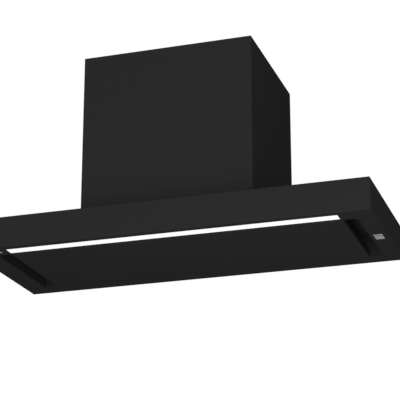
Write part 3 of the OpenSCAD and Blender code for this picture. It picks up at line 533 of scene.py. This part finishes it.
@dataclass
class PanHeadScrews:
    """The screws of one CAD node, with cross recesses in their heads.

    Attributes:
        node: The CAD node, one solid a screw.
        heads: Direction that the heads face.
        head_h: Height of a head.
        shank_r: Radius of a shank.
        recess_share: Reach of the recess, as a share of the head's radius.
        recess_w: Width of the recess.
        crown: How far the head draws in at its top, as a share of its radius.
        dome: Power of the head's curve: the higher, the flatter its middle.
        head_sides: Sides of a head.
        head_rings: Rings of faces up a head.
        shank_sides: Sides of a shank.
        bar_depths: Height of the recess's two bars, as shares of the head's. They differ, so that no two
            of their faces lie in one plane.
        smooth_deg: Edges flatter than this are shaded smooth.
    """

    node: str
    heads: Vector
    head_h: float = 2.4 * MM
    shank_r: float = 1.6 * MM
    recess_share: float = 0.62
    recess_w: float = 0.9 * MM
    crown: float = 0.3
    dome: float = 3.0
    head_sides: int = 24
    head_rings: int = 5
    shank_sides: int = 16
    bar_depths: tuple[float, float] = (1.0, 0.96)
    smooth_deg: float = 40.0

    def places(self) -> tuple[list[Vector], float, float]:
        """Reads where the screws are from their solids.

        Returns:
            The seat of each head, the heads' radius and the shanks' length.
        """
        solid = merged(self.node)
        seats, radius, length = [], 0.0, 0.0
        for points in islands(solid):
            low = Vector(min(p[k] for p in points) for k in range(3))
            high = Vector(max(p[k] for p in points) for k in range(3))
            along = [p.dot(self.heads) for p in points]
            middle = (low + high) / 2
            seats.append(middle + self.heads * (max(along) - self.head_h - middle.dot(self.heads)))
            across = (high - low) - self.heads * (high - low).dot(self.heads)
            radius = max(abs(v) for v in across) / 2
            length = max(along) - min(along) - self.head_h
        solid.free()
        return seats, radius, length

    def domed_head(self, g: Growth) -> bpy.types.NodeSocket:
        """Grows a head from a cylinder that draws in towards its top.

        Args:
            g: The tree to grow it in.

        Returns:
            The socket with the head, which stands on its seat.
        """
        height = g.size("Head height")
        blank = g.make("GeometryNodeMeshCylinder", {
            "Vertices": self.head_sides, "Side Segments": self.head_rings, "Radius": g.size("Head radius"),
            "Depth": height})
        point = g.make("GeometryNodeInputPosition")
        x, y, z = add_node(g.tree, "ShaderNodeSeparateXYZ", {0: point}).outputs
        share = g.sum("ADD", g.sum("DIVIDE", z, height), 0.5)
        drawn_in = g.sum("MULTIPLY", g.sum("POWER", share, self.dome), g.size("Crown"))
        shrink = g.sum("SUBTRACT", 1.0, drawn_in)
        raised = g.sum("ADD", z, g.sum("DIVIDE", height, 2.0))
        place = g.make("ShaderNodeCombineXYZ", {
            0: g.sum("MULTIPLY", x, shrink), 1: g.sum("MULTIPLY", y, shrink), 2: raised})
        return g.make("GeometryNodeSetPosition", {0: blank, "Position": place})

    def recess_bars(self, g: Growth) -> list[bpy.types.NodeSocket]:
        """Grows the two crossed bars that cut a head's recess.

        Args:
            g: The tree to grow them in.

        Returns:
            The sockets with the bars.
        """
        height = g.size("Head height")
        sides = ("Recess length", "Recess width")
        bars = []
        for (long, wide), depth in zip((sides, sides[::-1]), self.bar_depths):
            size = g.make("ShaderNodeCombineXYZ", {
                0: g.size(long), 1: g.size(wide), 2: g.sum("MULTIPLY", height, depth)})
            bar = g.make("GeometryNodeMeshCube", {"Size": size})
            bars.append(g.make("GeometryNodeTransform", {
                0: bar, "Translation": g.make("ShaderNodeCombineXYZ", {2: height})}))
        return bars

    def shank(self, g: Growth) -> bpy.types.NodeSocket:
        """Grows a shank that hangs from the head's seat.

        Args:
            g: The tree to grow it in.

        Returns:
            The socket with the shank.
        """
        length = g.size("Shank length")
        rod = g.make("GeometryNodeMeshCylinder", {
            "Vertices": self.shank_sides, "Radius": g.size("Shank radius"), "Depth": length})
        lowered = g.make("ShaderNodeCombineXYZ", {2: g.sum("DIVIDE", length, -2.0)})
        return g.make("GeometryNodeTransform", {0: rod, "Translation": lowered})

    def build(self) -> bpy.types.Object:
        """Grows the screws at their places.

        Returns:
            The piece's object.
        """
        seats, radius, length = self.places()
        g = Growth(self.node + "_growth", {
            "Head radius": radius, "Head height": self.head_h, "Crown": self.crown,
            "Shank radius": self.shank_r, "Shank length": length,
            "Recess length": 2 * radius * self.recess_share, "Recess width": self.recess_w,
            "Turn": tuple(Z.rotation_difference(self.heads).to_euler())})
        head = self.domed_head(g)
        for bar in self.recess_bars(g):
            head = g.make("GeometryNodeMeshBoolean", {0: head, 1: bar}, operation="DIFFERENCE")
        whole = add_node(g.tree, "GeometryNodeJoinGeometry")
        g.tree.links.new(head, whole.inputs[0])
        g.tree.links.new(self.shank(g), whole.inputs[0])
        screws = g.make("GeometryNodeInstanceOnPoints", {
            "Points": g.size("Geometry"), "Instance": whole.outputs[0], "Rotation": g.size("Turn")})
        start = bpy.data.meshes.new(self.node)
        start.from_pydata(seats, [], [])
        grown = g.grow(screws, self.node, start)
        return Piece(self.node + "_finished", grown, self.node, self.smooth_deg).put()


@dataclass
class ExpandedMetal:
    """The aluminium mesh of one grease filter: layers of slit and stretched sheet.

    Attributes:
        node: The CAD node of the pad.
        cell_x: Length of one diamond, in metres.
        cell_y: Width of one diamond.
        strand: Width and thickness of a strand.
        layers: Number of sheets.
        layer_gap: Distance between two sheets.
        smooth_deg: Edges flatter than this are shaded smooth.
    """

    node: str
    cell_x: float = 9.0 * MM
    cell_y: float = 6.0 * MM
    strand: tuple[float, float] = (1.1 * MM, 0.7 * MM)
    layers: int = 3
    layer_gap: float = 1.3 * MM
    smooth_deg: float = 10.0

    def zigzag_strand(self, g: Growth) -> bpy.types.NodeSocket:
        """Grows one strand, which bends to and fro over the pad's length.

        Args:
            g: The tree to grow it in.

        Returns:
            The socket with the strand.
        """
        odd = g.sum("MODULO", g.make("GeometryNodeInputIndex"), 2.0)
        length = g.sum("MULTIPLY", g.size("Half cells"), g.size("Half cell"))
        points = g.make("GeometryNodeMeshLine", {
            "Count": g.sum("ADD", g.size("Half cells"), 1.0),
            "Start Location": g.make("ShaderNodeCombineXYZ", {0: g.sum("MULTIPLY", length, -0.5)}),
            "Offset": g.make("ShaderNodeCombineXYZ", {0: g.size("Half cell")})})
        swing = g.sum("MULTIPLY", g.sum("SUBTRACT", odd, 0.5), g.sum("DIVIDE", g.size("Cell depth"), 2.0))
        bent = g.make("GeometryNodeSetPosition", {
            0: points, "Offset": g.make("ShaderNodeCombineXYZ", {1: swing})})
        outline = g.make("GeometryNodeCurvePrimitiveQuadrilateral", {
            "Width": g.size("Strand width"), "Height": g.size("Strand thickness")})
        return g.make("GeometryNodeCurveToMesh", {
            0: g.make("GeometryNodeMeshToCurve", {0: bent}), "Profile Curve": outline, "Fill Caps": True})

    def sheet(self, g: Growth) -> bpy.types.NodeSocket:
        """Lays strands side by side, every second one turned round, so that diamonds open between them.

        Args:
            g: The tree to grow it in.

        Returns:
            The socket with the sheet.
        """
        half_row = g.sum("DIVIDE", g.size("Cell depth"), 2.0)
        half_rows = g.sum("SUBTRACT", g.sum("MULTIPLY", g.size("Rows"), 0.5), 0.5)
        first = g.sum("MULTIPLY", half_rows, g.sum("MULTIPLY", half_row, -1.0))
        points = g.make("GeometryNodeMeshLine", {
            "Count": g.size("Rows"), "Start Location": g.make("ShaderNodeCombineXYZ", {1: first}),
            "Offset": g.make("ShaderNodeCombineXYZ", {1: half_row})})
        odd = g.sum("MODULO", g.make("GeometryNodeInputIndex"), 2.0)
        turned = g.make("ShaderNodeCombineXYZ", {2: g.sum("MULTIPLY", odd, math.pi)})
        return g.make("GeometryNodeInstanceOnPoints", {
            "Points": points, "Instance": self.zigzag_strand(g), "Rotation": turned})

    def stack(self, g: Growth) -> bpy.types.NodeSocket:
        """Lays the sheets over each other about the tree's origin.

        Args:
            g: The tree to grow it in.

        Returns:
            The socket with the stack.
        """
        gap = g.size("Layer gap")
        lowest = g.sum("MULTIPLY", g.sum("SUBTRACT", g.size("Layers"), 1.0), g.sum("MULTIPLY", gap, -0.5))
        points = g.make("GeometryNodeMeshLine", {
            "Count": g.size("Layers"), "Start Location": g.make("ShaderNodeCombineXYZ", {2: lowest}),
            "Offset": g.make("ShaderNodeCombineXYZ", {2: gap})})
        return g.make("GeometryNodeInstanceOnPoints", {"Points": points, "Instance": self.sheet(g)})

    def build(self) -> bpy.types.Object:
        """Grows the pad in the middle of its node's box.

        Returns:
            The piece's object.
        """
        low, high = (Vector(corner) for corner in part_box(self.node))
        width, thickness = self.strand
        room = high - low - Vector((2 * width, 2 * width, 0))
        across = 2 * int(room.x / self.cell_x)
        rows = 2 * int(room.y / self.cell_y)
        g = Growth(self.node + "_growth", {
            "Half cells": across, "Rows": rows, "Layers": self.layers, "Half cell": room.x / across,
            "Cell depth": 2 * room.y / rows, "Strand width": width, "Strand thickness": thickness,
            "Layer gap": self.layer_gap})
        placed = g.make("GeometryNodeTransform", {
            0: self.stack(g), "Translation": tuple((low + high) / 2)})
        grown = g.grow(placed, self.node, bpy.data.meshes.new(self.node))
        return Piece(self.node + "_finished", grown, self.node, self.smooth_deg).put()


@dataclass(frozen=True)
class Lamp:
    """A wide square lamp.

    Attributes:
        name: Name of the lamp.
        place: Where it hangs.
        aim: The point that it faces.
        side: Length of its sides.
        power: Its power in watts.
    """

    name: str
    place: tuple[float, float, float]
    aim: tuple[float, float, float]
    side: float
    power: float

    def hang(self) -> None:
        """Hangs the lamp, which only lights and is never seen itself."""
        light = bpy.data.lights.new(self.name, "AREA")
        light.size = self.side
        light.energy = self.power
        holder = bpy.data.objects.new(self.name, light)
        turn = (Vector(self.aim) - Vector(self.place)).to_track_quat("-Z", "Y").to_matrix().to_4x4()
        holder.matrix_world = Matrix.Translation(self.place) @ turn
        holder.visible_camera = False
        bpy.context.scene.collection.objects.link(holder)


@dataclass
class Studio:
    """The floor, the light and the camera of the photograph.

    Attributes:
        camera_at: Place of the camera.
        yaw_deg: Turn of the camera to the left.
        pitch_deg: Tilt of the camera upwards.
        roll_deg: Roll of the camera.
        lens_mm: Focal length.
        sensor_mm: Width of the camera's sensor.
        sight: Farthest distance that the camera sees.
        floor_z: Height of the floor.
        floor_side: Size of the floor.
        flag_y: Distance of the dark flag behind the wall plane.
        daylight: Strength of the even light from all round.
        lamps: The lamps.
    """

    camera_at: tuple[float, float, float] = (1.0182, -3.2180, -1.2650)
    yaw_deg: float = 18.0425
    pitch_deg: float = 19.825
    roll_deg: float = 0.021
    lens_mm: float = 136.78
    sensor_mm: float = 36.0
    sight: float = 100.0
    floor_z: float = -6.0
    floor_side: float = 14.0
    flag_y: float = 0.3
    daylight: float = 0.5
    lamps: list[Lamp] = field(default_factory=lambda: [
        Lamp("front_lamp", (1.05, -3.4, -1.35), (0.1, -0.3, -0.1), 0.7, 39.4),
        Lamp("right_lamp", (2.8, -2.6, 0.6), (0.1, -0.3, 0.0), 1.2, 31.5),
        Lamp("floor_lamp", (0.4, -1.2, -1.9), (0.0, -0.3, 0.0), 1.6, 42.3),
        # The last two light the sides that the photograph doesn't show
        Lamp("side_lamp", (4.0, -0.5, -0.4), (0.3, -0.2, 0.0), 1.4, 14.0),
        Lamp("rear_lamp", (-1.2, 2.6, 1.6), (0.0, -0.15, 0.0), 1.4, 70.0),
    ])

    def place_camera(self) -> None:
        """Places the camera as the photograph's was."""
        camera = bpy.data.cameras.new("photo_camera")
        camera.lens = self.lens_mm
        camera.sensor_width = self.sensor_mm
        camera.clip_end = self.sight
        holder = bpy.data.objects.new("photo_camera", camera)
        turn = (Matrix.Rotation(math.radians(self.yaw_deg), 4, "Z")
                @ Matrix.Rotation(math.radians(90 + self.pitch_deg), 4, "X")
                @ Matrix.Rotation(math.radians(self.roll_deg), 4, "Z"))
        holder.matrix_world = Matrix.Translation(self.camera_at) @ turn
        bpy.context.scene.collection.objects.link(holder)
        bpy.context.scene.camera = holder

    def put_card(self, corners: list[tuple[float, float, float]], finish: Finish) -> bpy.types.Object:
        """Puts a flat card into the studio.

        Args:
            corners: Its four corners, in metres.
            finish: Its finish, whose name it takes too.

        Returns:
            The card.
        """
        mesh = bpy.data.meshes.new(finish.name)
        mesh.from_pydata(corners, [], [(0, 1, 2, 3)])
        mesh.materials.append(finish.build())
        card = bpy.data.objects.new(finish.name, mesh)
        bpy.context.scene.collection.objects.link(card)
        return card

    def put_cards(self) -> None:
        """Lays a pale floor and stands a dark flag behind the hood, where a wall would be.

        Only reflections meet the flag: the matt sides and the underside mirror it at their flat angle.
        """
        half = self.floor_side / 2
        floor = [(-half, -half), (half, -half), (half, half), (-half, half)]
        self.put_card([(x, y, self.floor_z) for x, y in floor], STUDIO_FLOOR)
        upright = [(-half, self.floor_z), (half, self.floor_z), (half, half), (-half, half)]
        flag = self.put_card([(x, self.flag_y, z) for x, z in upright], STUDIO_FLAG)
        flag.visible_camera = False
        flag.visible_diffuse = False
        flag.visible_shadow = False

    def surround(self) -> None:
        """Surrounds the hood with even light, which the camera and mirrored rays see as plain white."""
        world = bpy.data.worlds.new("studio")
        bpy.context.scene.world = world
        world.use_nodes = True
        tree = world.node_tree
        tree.nodes.clear()
        rays = add_node(tree, "ShaderNodeLightPath").outputs
        seen = add_node(tree, "ShaderNodeMath", {
            0: rays["Is Camera Ray"], 1: rays["Is Glossy Ray"]}, operation="ADD")
        seen = add_node(tree, "ShaderNodeMath", {
            0: seen.outputs[0], 1: rays["Is Transmission Ray"]}, operation="ADD", use_clamp=True)
        white = linear("#ffffff")
        shown = add_node(tree, "ShaderNodeBackground", {"Color": white, "Strength": 1.0})
        lit = add_node(tree, "ShaderNodeBackground", {"Color": white, "Strength": self.daylight})
        mix = add_node(tree, "ShaderNodeMixShader", {
            0: seen.outputs[0], 1: lit.outputs[0], 2: shown.outputs[0]})
        add_node(tree, "ShaderNodeOutputWorld", {"Surface": mix.outputs[0]})

    def build(self) -> None:
        """Sets up the camera, the floor, the light and the view transform."""
        self.place_camera()
        self.put_cards()
        for lamp in self.lamps:
            lamp.hang()
        self.surround()
        bpy.context.scene.view_settings.view_transform = "Standard"


@dataclass
class SubAssembly:
    """A group of pieces that belong together.

    Attributes:
        name: Name that the log shows.
        softened: CAD solids that are copied with softer edges.
        screws: Groups of screws.
    """

    name: str
    softened: list[Softened] = field(default_factory=list)
    screws: list[PanHeadScrews] = field(default_factory=list)

    def build(self) -> None:
        """Builds every piece of the group."""
        log.info("building %s", self.name)
        for piece in self.softened + self.screws:
            piece.build()


@dataclass
class Canopy(SubAssembly):
    """The folded canopy, its base plate, its panel and its keys."""

    name: str = "canopy"
    softened: list[Softened] = field(default_factory=lambda: [
        Softened("canopy_shell", 1.0, EdgeChoice.OUTER),
        Softened("suction_panel", 0.8, EdgeChoice.OUTER),
        Softened("small_fan_key", 0.5, EdgeChoice.SHARP),
        Softened("large_fan_key", 0.5, EdgeChoice.SHARP),
        Softened("light_key", 0.5, EdgeChoice.SHARP),
        Softened("panel_catches", 0.8, EdgeChoice.OUTER),
        Softened("panel_hinge_leaves", 0.3, EdgeChoice.SHARP),
        Softened("hinge_brackets", 0.3, EdgeChoice.SHARP),
        Softened("hinge_pins", 0.4, EdgeChoice.RIMS),
        Softened("fan_key_housing", 0.6, EdgeChoice.OUTER),
        Softened("light_key_housing", 0.6, EdgeChoice.OUTER),
        Softened("light_driver", 1.5, EdgeChoice.OUTER),
    ])


@dataclass
class GreaseFilters(SubAssembly):
    """The two cassettes with their mesh and latches, and the frame that holds them."""

    name: str = "grease filters"
    softened: list[Softened] = field(default_factory=lambda: [
        Softened("filter_cassette_left", 0.6, EdgeChoice.OUTER),
        Softened("filter_cassette_right", 0.6, EdgeChoice.OUTER),
        Softened("filter_latch_left", 0.4, EdgeChoice.SHARP),
        Softened("filter_latch_right", 0.4, EdgeChoice.SHARP),
    ])
    screws: list[PanHeadScrews] = field(default_factory=lambda: [PanHeadScrews("filter_frame_screws", Z)])
    meshes: list[ExpandedMetal] = field(default_factory=lambda: [
        ExpandedMetal("filter_mesh_left"), ExpandedMetal("filter_mesh_right")])

    def build(self) -> None:
        """Builds the cassettes and grows their mesh."""
        super().build()
        for mesh in self.meshes:
            mesh.build()


@dataclass
class Blower(SubAssembly):
    """The blower box with its scroll, wheel, motor, collar and flaps."""

    name: str = "blower"
    softened: list[Softened] = field(default_factory=lambda: [
        Softened("blower_box", 1.0, EdgeChoice.OUTER),
        Softened("scroll_half_left", 0.4, EdgeChoice.SHARP),
        Softened("scroll_half_right", 0.4, EdgeChoice.SHARP),
        Softened("inlet_rings", 0.5, EdgeChoice.SHARP),
        Softened("impeller"),
        Softened("motor_shaft", 0.6, EdgeChoice.RIMS),
        Softened("motor", 4.0, EdgeChoice.RIMS, 6),
        Softened("motor_bracket", 0.3, EdgeChoice.SHARP),
        Softened("motor_bushes", 0.5, EdgeChoice.SHARP),
        Softened("capacitor", 0.6, EdgeChoice.SHARP),
        Softened("duct_collar", 0.6, EdgeChoice.SHARP),
        Softened("flap_pin", 0.4, EdgeChoice.RIMS),
        Softened("front_flap", 0.3, EdgeChoice.SHARP),
        Softened("rear_flap", 0.3, EdgeChoice.SHARP),
        Softened("wall_plate", 0.4, EdgeChoice.SHARP),
    ])
    screws: list[PanHeadScrews] = field(default_factory=lambda: [
        PanHeadScrews("blower_box_screws", Z),
        PanHeadScrews("collar_screws", Z),
        PanHeadScrews("motor_screws", -X, shank_r=2.5 * MM, recess_w=1.3 * MM),
    ])


@dataclass
class Chimney(SubAssembly):
    """The chimney cover and the sleeve that slides up out of it."""

    name: str = "chimney"
    softened: list[Softened] = field(default_factory=lambda: [
        Softened("chimney_cover", 0.8, EdgeChoice.OUTER),
        Softened("chimney_sleeve", 0.8, EdgeChoice.OUTER),
        Softened("sleeve_glides", 0.4, EdgeChoice.SHARP),
        Softened("sleeve_bracket", 0.4, EdgeChoice.SHARP),
    ])
    screws: list[PanHeadScrews] = field(default_factory=lambda: [
        PanHeadScrews("cover_screws", -Z), PanHeadScrews("sleeve_screws", -Y)])


@dataclass
class Electronics(SubAssembly):
    """The control box on the side of the blower."""

    name: str = "electronics"
    softened: list[Softened] = field(default_factory=lambda: [
        Softened("electronics_box", 1.2, EdgeChoice.OUTER),
        Softened("electronics_lid", 0.6, EdgeChoice.SHARP),
        Softened("terminal_block", 0.5, EdgeChoice.OUTER),
        Softened("cable_gland", 0.4, EdgeChoice.SHARP),
    ])
    screws: list[PanHeadScrews] = field(default_factory=lambda: [PanHeadScrews("electronics_screws", X)])


def dress_kept_nodes() -> None:
    """Gives every CAD node its finish, those that keep showing and those that a piece stands for: its real
    finish, and for the filter frame black with painted light.
    """
    for name, node in frame["nodes"].items():
        finish = FINISH_OF[name].build()
        for place in node.material_slots:
            place.material = finish


def main() -> None:
    """Builds the studio and every sub-assembly in order."""
    logging.basicConfig(level=logging.INFO, format="%(name)s: %(message)s")
    Studio().build()
    dress_kept_nodes()
    for part in (Canopy(), GreaseFilters(), Blower(), Chimney(), Electronics()):
        part.build()


if __name__ == "__main__":
    main()
